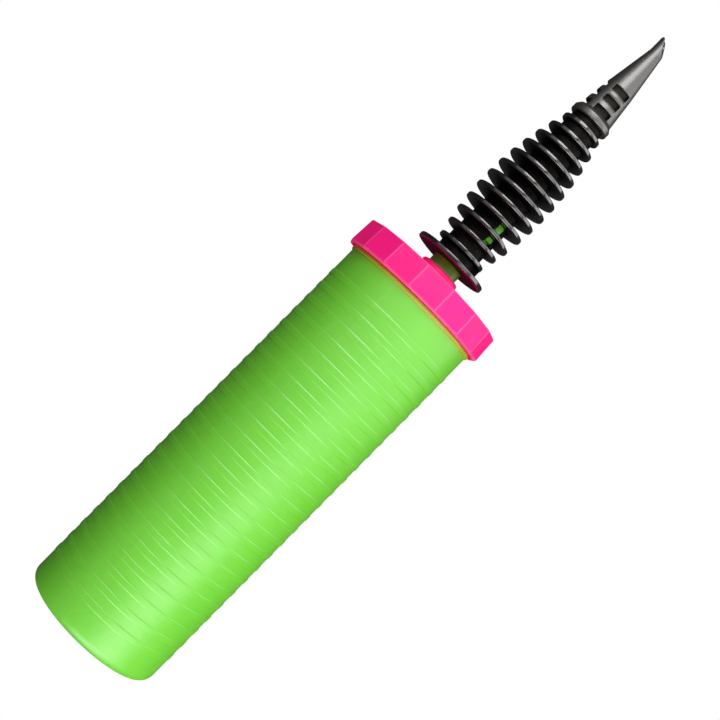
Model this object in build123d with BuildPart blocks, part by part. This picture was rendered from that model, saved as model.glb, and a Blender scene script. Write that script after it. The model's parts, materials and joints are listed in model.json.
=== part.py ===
"""Double-action hand pump that blows up balloons and beach balls.

The pump stands on its flat base with its axis on +Z and the origin in the middle of the base.
A barrel closed by a faceted cap holds a piston on a hollow rod. The finned grip and its nozzle
sit on the rod's upper end, so that pushing and pulling the grip both send air out of the nozzle.
All sizes are in millimetres, and the parts stand as they do with the grip pushed in.
"""

from build123d import *
import math
import os

# ---------------------------------------------------------------- driving dimensions
overall_height = 290.0
barrel_radius = 27.6
barrel_wall = 1.4
cap_radius = 31.0  # across the corners, at the skirt's lower edge
rod_radius = 6.1
rod_bore_radius = 4.2
running_gap = 0.05  # radial clearance where one piece slides or turns in another
free_gap = 0.3  # clearance between faces that never rub

# ---------------------------------------------------------------- barrel
barrel_rim = 167.6
barrel_floor = 2.0
barrel_bore_radius = barrel_radius - barrel_wall
corner_radius = 8.2
bore_corner_radius = 5.6
base_recess_radius = 17.0
base_recess_depth = 0.6
band_count = 23
band_width = 2.3
band_height = 0.2
first_band = 13.0
last_band = 148.0
band_pitch = (last_band - first_band) / (band_count - 1)
collar_low = 158.9
collar_high = 160.2
collar_radius = 28.2
snap_bead_radius = 28.5
snap_bead_low = 164.6
snap_bead_high = 165.8
base_hole_count = 6
base_hole_radius = 1.4
base_hole_circle = 5.6

# ---------------------------------------------------------------- base valve
base_disc_radius = 9.0
base_disc_thickness = 0.8
base_valve_lift = 1.0
base_cage_radius = 11.5
base_cage_wall = 1.6
base_cage_roof = 1.2
base_cage_slots = 6

# ---------------------------------------------------------------- cap
cap_bottom = 160.3
cap_top = 170.7
cap_side_count = 16
cap_turn = 14.5  # degrees from +X to the first corner
cap_taper = 3.3  # degrees that each flat leans inwards
cap_plate = 2.1
cap_bore_radius = 28.8
cap_snap_radius = 28.2
cap_edge_round = 1.3
cap_top_chamfer = 0.5
neck_radius = 8.0
neck_height = 4.5
neck_round = 1.6
neck_bore_radius = rod_radius + 2 * running_gap
sleeve_radius = 10.0
sleeve_bottom = 160.0
seal_pocket_radius = 8.4
seal_pocket_top = 164.6
cap_hole_count = 8
cap_hole_radius = 1.3
cap_hole_circle = 15.0
cap_ceiling = cap_top - cap_plate

# ---------------------------------------------------------------- cap valve and seals
guard_low = 166.0
guard_high = 167.0
guard_radius = 21.0
guard_slots = 8
cap_ring_inner = sleeve_radius + free_gap
cap_ring_outer = 19.0
cap_ring_thickness = 0.6
wiper_low = 161.8
retainer_low = sleeve_bottom + 0.1

# ---------------------------------------------------------------- piston
piston_bottom = 11.0
piston_plate = 2.2
piston_plate_radius = 24.3
piston_hub_radius = 9.0
piston_spacer_height = 10.6
piston_spacer_radius = 24.0
piston_spacer_bore = 20.5
ledge_radius = 16.5
ledge_thickness = 0.8
ledge_drop = 1.8  # from the upper plate's underside down to the ledge
cup_inner_radius = 18.4
cup_thickness = 1.2
cup_lip_reach = 1.9
cup_lip_thickness = 0.55
seat_hole_radius = 2.2
ball_radius = 3.2
ball_room_radius = 4.4
ball_lift = 0.8
port_count = 4
port_radius = 1.2
port_height = 22.6
nut_radius = 12.5
nut_height = 2.0
bump_stop_radius = 10.0
bump_stop_height = 3.0
piston_hole_count = 6
piston_hole_radius = 1.3
piston_hole_circle = 13.6
piston_ring_inner = 9.6
piston_ring_outer = 18.0
piston_ring_thickness = 0.6

lower_cup_low = piston_bottom + piston_plate + running_gap
spacer_low = lower_cup_low + cup_thickness + running_gap
spacer_high = spacer_low + piston_spacer_height
upper_cup_low = spacer_high + running_gap
upper_plate_low = upper_cup_low + cup_thickness + running_gap
upper_plate_high = upper_plate_low + piston_plate
nut_low = upper_plate_high + running_gap
hub_top = nut_low + nut_height
ledge_top = upper_plate_low - ledge_drop
cup_lip_radius = barrel_bore_radius - running_gap
plate_floor = piston_bottom + piston_plate

# ---------------------------------------------------------------- rod
rod_bottom = 17.0
rod_top = 206.0
lug_low = 193.2
lug_high = 201.7
lug_width = 3.5
lug_reach = 7.35
lug_turn = -51.5  # degrees from +X to the first lug and its window
groove_low = 203.2
groove_width = 1.1
groove_radius = 5.15

# ---------------------------------------------------------------- grip
flange_low = 178.8
flange_rim_low = 179.1
flange_high = 180.8
flange_radius = 14.8
core_radius = 7.5
core_top_radius = 6.6
grip_top = 249.0
grip_air_radius = 4.4
socket_radius = 5.5
socket_bottom = 240.0
fin_count = 12
first_fin = 185.3
fin_pitch = 5.487
widest_fin = 5.9  # the place of the widest girth, counted in fins from the flange
widest_radius = 13.3
girth_falloff = 0.1355
fin_rim = 1.5
fin_root = 2.2
fin_edge = 0.4  # the bevel round each rim
locked_fin = 3  # the fin that bridges the two windows
gusset_thickness = 1.6
gusset_reach = 9.8
small_gusset_reach = 7.9
window_low = 192.3
window_high = 202.4
window_width = 3.9

# ---------------------------------------------------------------- nozzle
skirt_low = 249.3
skirt_radius = 8.15
slope_radius = 7.1  # where the skirt's slope begins, at the first slot
skirt_core_radius = 5.4
slot_core_step = 0.4  # the core narrows by this much from each slot to the next
rung_low = 252.9
rung_pitch = 4.9
slot_width = 2.4
slot_count = 3
cone_low = 265.3
cone_low_radius = 5.55
tip_low = 284.0
tip_radius = 2.65
tip_round = 0.3
nozzle_bore_radius = 3.1
tip_bore_radius = 1.7
spigot_radius = socket_radius - running_gap
front_rail_inner = -2.6
front_rail_outer = -4.7
side_rail_inner = 4.3
tip_cut_slope = 58.0  # degrees from the level
tip_cut_height = 288.2
tip_cut_turn = 159.0  # degrees from +X to the side where the lip stands highest


def half_section(inner, outer, low, high, mode=Mode.ADD):
    """A rectangle in a sketch of the half section, between two radii and two heights."""
    with Locations(((inner + outer) / 2, (low + high) / 2)):
        Rectangle(outer - inner, high - low, mode=mode)


def fin_radius(number):
    """The radius of one fin: the girth falls off as the square of the distance from the widest."""
    return widest_radius - girth_falloff * (number - widest_fin) ** 2


def fin_height(number):
    """The height of the middle of one fin, counted from 1 at the flange."""
    return first_fin + fin_pitch * (number - 1)


# ================================================================ barrel
with BuildPart() as barrel:
    with BuildSketch(Plane.XZ):
        with BuildLine():
            outside = FilletPolyline(
                (0, 0), (barrel_radius, 0), (barrel_radius, barrel_rim), radius=corner_radius
            )
            inside = FilletPolyline(
                (0, barrel_floor),
                (barrel_bore_radius, barrel_floor),
                (barrel_bore_radius, barrel_rim),
                radius=bore_corner_radius,
            )
            Line(outside @ 0, inside @ 0)
            Line(outside @ 1, inside @ 1)
        make_face()
        for number in range(band_count):
            middle = first_band + number * band_pitch
            half_section(
                barrel_radius - band_height,
                barrel_radius + band_height,
                middle - band_width / 2,
                middle + band_width / 2,
            )
        half_section(barrel_radius - band_height, collar_radius, collar_low, collar_high)
        half_section(barrel_radius - band_height, snap_bead_radius, snap_bead_low, snap_bead_high)
    revolve(axis=Axis.Z)
    with BuildSketch(Plane.XY):
        Circle(base_recess_radius)
    extrude(amount=base_recess_depth, mode=Mode.SUBTRACT)
    with BuildSketch(Plane.XY):
        with PolarLocations(base_hole_circle, base_hole_count):
            Circle(base_hole_radius)
    extrude(amount=barrel_floor, mode=Mode.SUBTRACT)

# ================================================================ base valve: loose disc in a cage
with BuildPart() as base_valve_disc:
    with BuildSketch(Plane.XY.offset(barrel_floor + running_gap)):
        Circle(base_disc_radius)
    extrude(amount=base_disc_thickness)

cage_roof_low = barrel_floor + base_disc_thickness + base_valve_lift + 2 * running_gap
with BuildPart() as base_valve_cage:
    with BuildSketch(Plane.XZ):
        half_section(
            base_cage_radius - base_cage_wall,
            base_cage_radius,
            barrel_floor,
            cage_roof_low + base_cage_roof,
        )
        half_section(0, base_cage_radius, cage_roof_low, cage_roof_low + base_cage_roof)
    revolve(axis=Axis.Z)
    with BuildSketch(Plane.XY.offset(cage_roof_low)):
        with PolarLocations(base_cage_radius / 2, base_cage_slots):
            SlotOverall(base_cage_radius / 2, 2 * base_hole_radius)
    extrude(amount=base_cage_roof, mode=Mode.SUBTRACT)

# ================================================================ cap
with BuildPart() as cap:
    with BuildSketch(Plane.XY.offset(cap_bottom)):
        RegularPolygon(cap_radius, cap_side_count, rotation=cap_turn)
    extrude(amount=cap_top - cap_bottom, taper=cap_taper)
    fillet(cap.edges().group_by(Axis.Z)[0], radius=cap_edge_round)
    chamfer(cap.edges().group_by(Axis.Z)[-1], length=cap_top_chamfer)
    with BuildSketch(Plane.XY.offset(cap_top)):
        Circle(neck_radius)
    extrude(amount=neck_height)
    fillet(cap.edges().group_by(Axis.Z)[-1], radius=neck_round)
    with BuildSketch(Plane.XZ):
        half_section(0, cap_bore_radius, cap_bottom, cap_ceiling)
    revolve(axis=Axis.Z, mode=Mode.SUBTRACT)
    with BuildSketch(Plane.XZ):
        half_section(0, sleeve_radius, sleeve_bottom, cap_top)
        with BuildLine():
            Polyline(
                (cap_bore_radius + running_gap, cap_bottom + cap_edge_round),
                (cap_snap_radius, cap_bottom + 2 * cap_edge_round),
                (cap_bore_radius + running_gap, cap_bottom + 3 * cap_edge_round),
                close=True,
            )
        make_face()
    revolve(axis=Axis.Z)
    with BuildSketch(Plane.XZ):
        half_section(0, neck_bore_radius, sleeve_bottom, cap_top + neck_height)
        half_section(0, seal_pocket_radius, sleeve_bottom, seal_pocket_top)
    revolve(axis=Axis.Z, mode=Mode.SUBTRACT)
    with BuildSketch(Plane.XY.offset(cap_ceiling)):
        with PolarLocations(cap_hole_circle, cap_hole_count):
            Circle(cap_hole_radius)
    extrude(amount=cap_plate, mode=Mode.SUBTRACT)

# ================================================================ cap gasket
with BuildPart() as cap_gasket:
    with BuildSketch(Plane.XZ):
        half_section(
            barrel_bore_radius + running_gap,
            barrel_radius + running_gap,
            barrel_rim + running_gap,
            cap_ceiling - running_gap,
        )
    revolve(axis=Axis.Z)

# ================================================================ rod seal and its retainer
with BuildPart() as rod_wiper:
    with BuildSketch(Plane.XZ):
        half_section(
            rod_radius + running_gap,
            seal_pocket_radius - running_gap,
            wiper_low,
            seal_pocket_top - running_gap,
        )
    revolve(axis=Axis.Z)

with BuildPart() as seal_retainer:
    with BuildSketch(Plane.XZ):
        half_section(
            rod_radius + 2 * running_gap,
            seal_pocket_radius - running_gap,
            retainer_low,
            wiper_low - running_gap,
        )
    revolve(axis=Axis.Z)

# ================================================================ cap valve: loose ring above a guard
with BuildPart() as cap_valve_ring:
    with BuildSketch(Plane.XZ):
        half_section(
            cap_ring_inner,
            cap_ring_outer,
            guard_high + running_gap,
            guard_high + running_gap + cap_ring_thickness,
        )
    revolve(axis=Axis.Z)

with BuildPart() as cap_valve_guard:
    with BuildSketch(Plane.XZ):
        half_section(sleeve_radius + running_gap, guard_radius, guard_low, guard_high)
        half_section(guard_radius - 1, guard_radius, guard_low, cap_ceiling - running_gap)
    revolve(axis=Axis.Z)
    with BuildSketch(Plane.XY.offset(guard_low)):
        with PolarLocations(cap_hole_circle, guard_slots, start_angle=180 / guard_slots):
            SlotOverall(cap_hole_circle / 2, 2 * cap_hole_radius)
    extrude(amount=guard_high - guard_low, mode=Mode.SUBTRACT)

# ================================================================ piston plates
with BuildPart() as piston_lower_plate:
    with BuildSketch(Plane.XZ):
        half_section(0, piston_plate_radius, piston_bottom, plate_floor)
        half_section(0, piston_hub_radius, plate_floor, hub_top)
    revolve(axis=Axis.Z)
    with BuildSketch(Plane.XZ):
        half_section(0, seat_hole_radius, piston_bottom, plate_floor)
        half_section(0, ball_room_radius, plate_floor, rod_bottom)
        half_section(0, rod_radius + running_gap, rod_bottom, hub_top)
    revolve(axis=Axis.Z, mode=Mode.SUBTRACT)
    for side in range(port_count // 2):
        port_axis = Plane(
            origin=(0, 0, port_height),
            z_dir=(math.cos(side * math.pi / 2), math.sin(side * math.pi / 2), 0),
        )
        with BuildSketch(port_axis):
            Circle(port_radius)
        extrude(amount=piston_hub_radius, both=True, mode=Mode.SUBTRACT)

with BuildPart() as piston_upper_plate:
    with BuildSketch(Plane.XY.offset(upper_plate_low)):
        Circle(piston_plate_radius)
        Circle(piston_hub_radius + running_gap, mode=Mode.SUBTRACT)
        with PolarLocations(piston_hole_circle, piston_hole_count):
            Circle(piston_hole_radius, mode=Mode.SUBTRACT)
    extrude(amount=piston_plate)

with BuildPart() as piston_spacer:
    with BuildSketch(Plane.XZ):
        half_section(piston_spacer_bore, piston_spacer_radius, spacer_low, spacer_high)
        half_section(ledge_radius, piston_spacer_bore, ledge_top - ledge_thickness, ledge_top)
    revolve(axis=Axis.Z)

with BuildPart() as piston_nut:
    with BuildSketch(Plane.XY.offset(nut_low)):
        RegularPolygon(nut_radius, 6)
        Circle(piston_hub_radius + running_gap, mode=Mode.SUBTRACT)
    extrude(amount=nut_height)

# ================================================================ cup seals, one facing each way
with BuildPart() as lower_cup_seal:
    with BuildSketch(Plane.XZ):
        with BuildLine():
            Polyline(
                (cup_inner_radius, lower_cup_low),
                (piston_plate_radius + running_gap, lower_cup_low),
                (cup_lip_radius - cup_lip_thickness, lower_cup_low - cup_lip_reach),
                (cup_lip_radius, lower_cup_low - cup_lip_reach),
                (cup_lip_radius - cup_lip_thickness, lower_cup_low + cup_thickness),
                (cup_inner_radius, lower_cup_low + cup_thickness),
                close=True,
            )
        make_face()
    revolve(axis=Axis.Z)

with BuildPart() as upper_cup_seal:
    with BuildSketch(Plane.XZ):
        with BuildLine():
            Polyline(
                (cup_inner_radius, upper_cup_low),
                (cup_lip_radius - cup_lip_thickness, upper_cup_low),
                (cup_lip_radius, upper_cup_low + cup_thickness + cup_lip_reach),
                (cup_lip_radius - cup_lip_thickness, upper_cup_low + cup_thickness + cup_lip_reach),
                (piston_plate_radius + running_gap, upper_cup_low + cup_thickness),
                (cup_inner_radius, upper_cup_low + cup_thickness),
                close=True,
            )
        make_face()
    revolve(axis=Axis.Z)

# ================================================================ piston valves
with BuildPart() as piston_valve_ring:
    with BuildSketch(Plane.XZ):
        half_section(
            piston_ring_inner,
            piston_ring_outer,
            ledge_top + running_gap,
            ledge_top + running_gap + piston_ring_thickness,
        )
    revolve(axis=Axis.Z)

ball_height = plate_floor + math.sqrt(ball_radius**2 - seat_hole_radius**2) + running_gap
with BuildPart() as valve_ball:
    with Locations((0, 0, ball_height)):
        Sphere(ball_radius)

stop_low = ball_height + ball_radius + ball_lift + running_gap
with BuildPart() as ball_stop:
    with BuildSketch(Plane.XY.offset(stop_low)):
        Circle(rod_bore_radius - running_gap)
        with PolarLocations(rod_bore_radius, port_count):
            Circle(rod_bore_radius / 2, mode=Mode.SUBTRACT)
    extrude(amount=1)

# ================================================================ rod
with BuildPart() as piston_rod:
    with BuildSketch(Plane.XY.offset(rod_bottom)):
        Circle(rod_radius)
    extrude(amount=rod_top - rod_bottom)
    with BuildSketch(Plane.XY.offset(lug_low)):
        with PolarLocations(lug_reach / 2, 2, start_angle=lug_turn):
            Rectangle(lug_reach, lug_width)
    extrude(amount=lug_high - lug_low)
    with BuildSketch(Plane.XZ):
        half_section(groove_radius, rod_radius, groove_low, groove_low + groove_width)
    revolve(axis=Axis.Z, mode=Mode.SUBTRACT)
    with BuildSketch(Plane.XY.offset(rod_bottom)):
        Circle(rod_bore_radius)
    extrude(amount=rod_top - rod_bottom, mode=Mode.SUBTRACT)
    for side in range(port_count // 2):
        rod_port_axis = Plane(
            origin=(0, 0, port_height),
            z_dir=(math.cos(side * math.pi / 2), math.sin(side * math.pi / 2), 0),
        )
        with BuildSketch(rod_port_axis):
            Circle(port_radius)
        extrude(amount=rod_radius, both=True, mode=Mode.SUBTRACT)

with BuildPart() as rod_top_seal:
    with BuildSketch(Plane.XZ):
        half_section(
            groove_radius + running_gap,
            rod_radius + running_gap / 2,
            groove_low + running_gap,
            groove_low + groove_width - running_gap,
        )
    revolve(axis=Axis.Z)

bump_stop_low = hub_top + running_gap
with BuildPart() as bump_stop:
    with BuildSketch(Plane.XZ):
        half_section(
            rod_radius + running_gap,
            bump_stop_radius,
            bump_stop_low,
            bump_stop_low + bump_stop_height,
        )
    revolve(axis=Axis.Z)

# ================================================================ grip
with BuildPart() as grip:
    with BuildSketch(Plane.XZ):
        with BuildLine():
            Polyline(
                (0, flange_low),
                (flange_radius - fin_edge, flange_rim_low),
                (flange_radius, flange_rim_low + fin_edge),
                (flange_radius, flange_high - fin_edge),
                (flange_radius - fin_edge, flange_high),
                (core_radius, flange_high),
                (core_radius, fin_height(fin_count - 2)),
                (core_top_radius, grip_top),
                (0, grip_top),
                close=True,
            )
        make_face()
        for number in range(1, fin_count + 1):
            middle = fin_height(number)
            reach = fin_radius(number)
            with BuildLine():
                Polyline(
                    (rod_radius, middle - fin_root / 2),
                    (reach - fin_edge, middle - fin_rim / 2),
                    (reach, middle - fin_rim / 2 + fin_edge),
                    (reach, middle + fin_rim / 2 - fin_edge),
                    (reach - fin_edge, middle + fin_rim / 2),
                    (rod_radius, middle + fin_root / 2),
                    close=True,
                )
            make_face()
    revolve(axis=Axis.Z)
    with BuildSketch(Plane.XY.offset(flange_high - fin_edge)):
        with Locations((gusset_reach / 2, 0)):
            Rectangle(gusset_reach, gusset_thickness)
        with Locations((-small_gusset_reach / 2, 0)):
            Rectangle(small_gusset_reach, gusset_thickness)
    extrude(amount=first_fin - flange_high + fin_edge)
    with BuildSketch(Plane.XZ):
        half_section(0, rod_radius + running_gap, flange_low, rod_top + running_gap)
        half_section(0, grip_air_radius, rod_top, socket_bottom)
        half_section(0, socket_radius, socket_bottom, grip_top)
    revolve(axis=Axis.Z, mode=Mode.SUBTRACT)
    with BuildSketch(Plane.XY.offset(window_low)):
        with PolarLocations(core_radius / 2, 2, start_angle=lug_turn):
            Rectangle(core_radius + running_gap, window_width)
    extrude(amount=window_high - window_low, mode=Mode.SUBTRACT)
    with BuildSketch(Plane.XZ):
        half_section(
            math.hypot(lug_reach, lug_width / 2) + running_gap,
            fin_radius(locked_fin) - fin_edge,
            fin_height(locked_fin) - fin_rim / 2,
            fin_height(locked_fin) + fin_rim / 2,
        )
    revolve(axis=Axis.Z)

# ================================================================ nozzle
with BuildPart() as nozzle:
    with BuildSketch(Plane.XZ):
        half_section(0, spigot_radius, socket_bottom + free_gap, skirt_low)
        with BuildLine():
            Polyline(
                (0, skirt_low),
                (skirt_radius - fin_edge, skirt_low),
                (skirt_radius, skirt_low + fin_edge),
                (skirt_radius, rung_low - fin_rim),
                (slope_radius, rung_low),
                (cone_low_radius, cone_low),
                (tip_radius, tip_low),
                (tip_radius, overall_height - tip_round),
                (tip_radius - tip_round, overall_height),
                (0, overall_height),
                close=True,
            )
        make_face()
    revolve(axis=Axis.Z)
    for number in range(slot_count):
        slot_low = rung_low + number * rung_pitch
        with BuildSketch(Plane.XY.offset(slot_low)):
            Circle(skirt_radius + 1)
            Circle(skirt_core_radius - number * slot_core_step, mode=Mode.SUBTRACT)
            with Locations(((front_rail_inner + front_rail_outer) / 2, -skirt_radius / 2)):
                Rectangle(front_rail_inner - front_rail_outer, skirt_radius, mode=Mode.SUBTRACT)
            with Locations((side_rail_inner + skirt_radius / 2, 0)):
                Rectangle(skirt_radius, 2 * skirt_radius, mode=Mode.SUBTRACT)
        extrude(amount=slot_width, mode=Mode.SUBTRACT)
    with BuildSketch(Plane.XZ):
        with BuildLine():
            Polyline(
                (0, socket_bottom),
                (nozzle_bore_radius, socket_bottom),
                (nozzle_bore_radius, cone_low),
                (tip_bore_radius, tip_low),
                (tip_bore_radius, overall_height),
                (0, overall_height),
                close=True,
            )
        make_face()
    revolve(axis=Axis.Z, mode=Mode.SUBTRACT)
    cut_across = Vector(math.cos(math.radians(tip_cut_turn)), math.sin(math.radians(tip_cut_turn)), 0)
    cut_normal = (
        Vector(0, 0, 1) * math.cos(math.radians(tip_cut_slope))
        - cut_across * math.sin(math.radians(tip_cut_slope))
    )
    split(bisect_by=Plane(origin=(0, 0, tip_cut_height), z_dir=cut_normal), keep=Keep.BOTTOM)

# ================================================================ labels and files
pieces = {
    "barrel": barrel,
    "base_valve_disc": base_valve_disc,
    "base_valve_cage": base_valve_cage,
    "cap": cap,
    "cap_gasket": cap_gasket,
    "rod_wiper": rod_wiper,
    "seal_retainer": seal_retainer,
    "cap_valve_ring": cap_valve_ring,
    "cap_valve_guard": cap_valve_guard,
    "piston_lower_plate": piston_lower_plate,
    "piston_upper_plate": piston_upper_plate,
    "piston_spacer": piston_spacer,
    "piston_nut": piston_nut,
    "lower_cup_seal": lower_cup_seal,
    "upper_cup_seal": upper_cup_seal,
    "piston_valve_ring": piston_valve_ring,
    "valve_ball": valve_ball,
    "ball_stop": ball_stop,
    "piston_rod": piston_rod,
    "rod_top_seal": rod_top_seal,
    "bump_stop": bump_stop,
    "grip": grip,
    "nozzle": nozzle,
}
os.makedirs("parts", exist_ok=True)
for name, piece in pieces.items():
    piece.part.label = name
    export_step(piece.part, f"parts/{name}.step")
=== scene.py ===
"""Looks of a double-action balloon pump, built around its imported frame.

The pump stands on its base with its axis on +Z. Sizes in the classes below are in millimetres,
as a moulder's drawing gives them, and each mesh is turned to metres as it is made.
"""

import json
import logging
import math
from dataclasses import dataclass, field
from enum import Enum

import bmesh
import bpy
import numpy as np
from mathutils import Matrix, Vector


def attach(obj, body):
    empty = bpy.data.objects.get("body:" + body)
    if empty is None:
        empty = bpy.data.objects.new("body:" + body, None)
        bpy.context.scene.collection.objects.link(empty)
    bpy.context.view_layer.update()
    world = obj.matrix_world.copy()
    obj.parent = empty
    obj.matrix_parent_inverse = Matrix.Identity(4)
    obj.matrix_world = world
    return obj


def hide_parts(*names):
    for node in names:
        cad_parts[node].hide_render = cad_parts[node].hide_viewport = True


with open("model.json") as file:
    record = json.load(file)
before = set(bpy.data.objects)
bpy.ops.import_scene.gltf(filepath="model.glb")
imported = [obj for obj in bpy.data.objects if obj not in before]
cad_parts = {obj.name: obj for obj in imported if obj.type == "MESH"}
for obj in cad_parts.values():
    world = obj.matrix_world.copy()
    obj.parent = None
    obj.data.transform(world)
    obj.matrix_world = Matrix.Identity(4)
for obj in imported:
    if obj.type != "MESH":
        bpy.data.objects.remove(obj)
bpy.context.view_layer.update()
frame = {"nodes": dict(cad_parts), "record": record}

MM = 0.001
TAU = 2.0 * math.pi
LOG = logging.getLogger("pump")


class Body(Enum):
    """The bodies of the frame that new pieces ride on."""

    HOUSING = "housing"
    PLUNGER = "plunger"


# ---------------------------------------------------------------- curves and surfaces
def smooth_step(low: float, high: float, value: np.ndarray) -> np.ndarray:
    """A ramp from 0 to 1 with level ends, t squared times (3 minus 2t).

    Args:
        low: where the ramp leaves 0.
        high: where the ramp reaches 1.
        value: the places to work it out at.

    Returns:
        The ramp's height at each place.
    """
    share = np.clip((value - low) / (high - low), 0.0, 1.0)
    return share * share * (3.0 - 2.0 * share)


def plateau(centre: float, half_width: float, edge: float, value: np.ndarray) -> np.ndarray:
    """A flat-topped hump: 1 inside half_width of the centre, falling to 0 over the edge.

    Args:
        centre: the middle of the hump.
        half_width: from the middle to the middle of each slope.
        edge: how wide each slope is.
        value: the places to work it out at.

    Returns:
        The hump's height at each place.
    """
    away = np.abs(value - centre)
    return 1.0 - smooth_step(half_width - edge / 2, half_width + edge / 2, away)


def rounded_path(corners: list[tuple[float, float, float]], steps: int = 6) -> np.ndarray:
    """A path of straight legs whose corners are rounded by arcs.

    Each corner is cut back along both legs by radius times the tangent of half the turn. The arc
    between the two cuts is swept about its centre, from one leg's normal to the other's.

    Args:
        corners: radius from the axis, height, and rounding radius of each corner.
        steps: points on each arc.

    Returns:
        An array of (radius, height) points along the path.
    """
    table = np.array(corners, float)
    place, bend = table[:, :2], table[1:-1, 2]
    leg = np.diff(place, axis=0)
    length = np.linalg.norm(leg, axis=1)
    along = leg / length[:, None]
    before, after = along[:-1], along[1:]
    turn = np.arccos(np.clip((before * after).sum(1), -1.0, 1.0))
    room = 0.49 * np.minimum(length[:-1], length[1:])
    half_tangent = np.maximum(np.tan(turn / 2), 1e-9)
    bend = np.minimum(bend, room / half_tangent)
    cut = bend * half_tangent
    start = place[1:-1] - before * cut[:, None]
    side = np.sign(before[:, 0] * after[:, 1] - before[:, 1] * after[:, 0])
    normal = np.stack([-before[:, 1], before[:, 0]], 1) * side[:, None]
    share = np.linspace(0.0, 1.0, steps)[None, :, None]
    swept = turn[:, None, None] * share
    arcs = (
        start[:, None, :]
        + bend[:, None, None] * np.sin(swept) * before[:, None, :]
        + bend[:, None, None] * (1.0 - np.cos(swept)) * normal[:, None, :]
    )
    return np.vstack([place[:1], arcs.reshape(-1, 2), place[-1:]])


def revolve(path: np.ndarray, angles: np.ndarray) -> np.ndarray:
    """A surface of revolution: x = r cos a, y = r sin a, z = h for each path point and angle.

    Args:
        path: (radius, height) points.
        angles: the turn of each column, in radians.

    Returns:
        A grid of points, one row for each path point and one column for each angle.
    """
    radius, height = path[:, :1], path[:, 1:2]
    return np.stack(
        [
            radius * np.cos(angles)[None, :],
            radius * np.sin(angles)[None, :],
            height * np.ones_like(angles)[None, :],
        ],
        axis=2,
    )


def even_angles(count: int) -> np.ndarray:
    """Columns spread evenly once round the axis."""
    return np.linspace(0.0, TAU, count, endpoint=False)


def turn_from(angles: np.ndarray, centre: float | np.ndarray) -> np.ndarray:
    """How far each angle is from a centre, in radians between minus and plus half a turn."""
    return np.angle(np.exp(1j * (angles - centre)))


def add_columns(angles: np.ndarray, centres: list[float], offsets: list[float]) -> np.ndarray:
    """Columns with more of them at chosen places, sorted once round the axis.

    Args:
        angles: the columns that are there already, in radians.
        centres: where the new ones go, in radians.
        offsets: the new ones' distances from each centre, in radians.

    Returns:
        All the columns from 0 to a full turn, with near-duplicates dropped.
    """
    extra = (np.array(centres)[:, None] + np.array(offsets)[None, :]).ravel()
    both = np.sort(np.mod(np.concatenate([angles, extra]), TAU))
    keep = np.concatenate([[True], np.diff(both) > 1e-4])
    return both[keep]


@dataclass
class Skin:
    """A mesh in the making: grids of points joined by four-sided faces."""

    points: list[np.ndarray] = field(default_factory=list)
    faces: list[np.ndarray] = field(default_factory=list)
    wear_and_painted_light: list[np.ndarray] = field(default_factory=list)
    count: int = 0

    def add(
        self,
        grid: np.ndarray,
        around: bool = True,
        wear_and_painted_light: np.ndarray | None = None,
        keep: np.ndarray | None = None,
    ) -> None:
        """Adds one grid.

        Args:
            grid: points by row and column, in millimetres.
            around: whether the last column joins the first.
            wear_and_painted_light: how far each point belongs to where its finish lays edge wear, coat and
                painted light, from 0 to 1.
            keep: which faces to keep, by row and column.
        """
        rows, columns = grid.shape[:2]
        index = np.arange(rows * columns).reshape(rows, columns) + self.count
        right = np.roll(index, -1, axis=1)
        quads = np.stack([index[:-1], right[:-1], right[1:], index[1:]], axis=2)
        if not around:
            quads = quads[:, :-1]
        if keep is not None:
            quads = quads[keep]
        self.points.append(grid.reshape(-1, 3))
        self.faces.append(quads.reshape(-1, 4))
        self.wear_and_painted_light.append((np.zeros((rows, columns)) if wear_and_painted_light is None else wear_and_painted_light).ravel())
        self.count += rows * columns

    def build(self, name: str, sharp_degrees: float = 38.0) -> bpy.types.Object:
        """Makes the object: doubles merged, faces outwards, smooth except at sharp edges.

        Args:
            name: the object's name.
            sharp_degrees: edges that turn more than this stay sharp.

        Returns:
            The finished object, in metres.
        """
        mesh = bpy.data.meshes.new(name)
        mesh.from_pydata(np.vstack(self.points) * MM, [], np.vstack(self.faces))
        # A per-point mask where the finishes lay edge wear, coat and painted light.
        wear_and_painted_light = mesh.attributes.new("wear_and_painted_light", "FLOAT", "POINT")
        wear_and_painted_light.data.foreach_set("value", np.concatenate(self.wear_and_painted_light).astype(np.float32))
        work = bmesh.new()
        work.from_mesh(mesh)
        bmesh.ops.remove_doubles(work, verts=work.verts, dist=2e-7)
        bmesh.ops.dissolve_degenerate(work, edges=work.edges, dist=1e-7)
        bmesh.ops.recalc_face_normals(work, faces=work.faces)
        work.to_mesh(mesh)
        work.free()
        mesh.shade_smooth()
        mesh.set_sharp_from_angle(angle=math.radians(sharp_degrees))
        piece = bpy.data.objects.new(name, mesh)
        bpy.context.scene.collection.objects.link(piece)
        return piece


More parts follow.
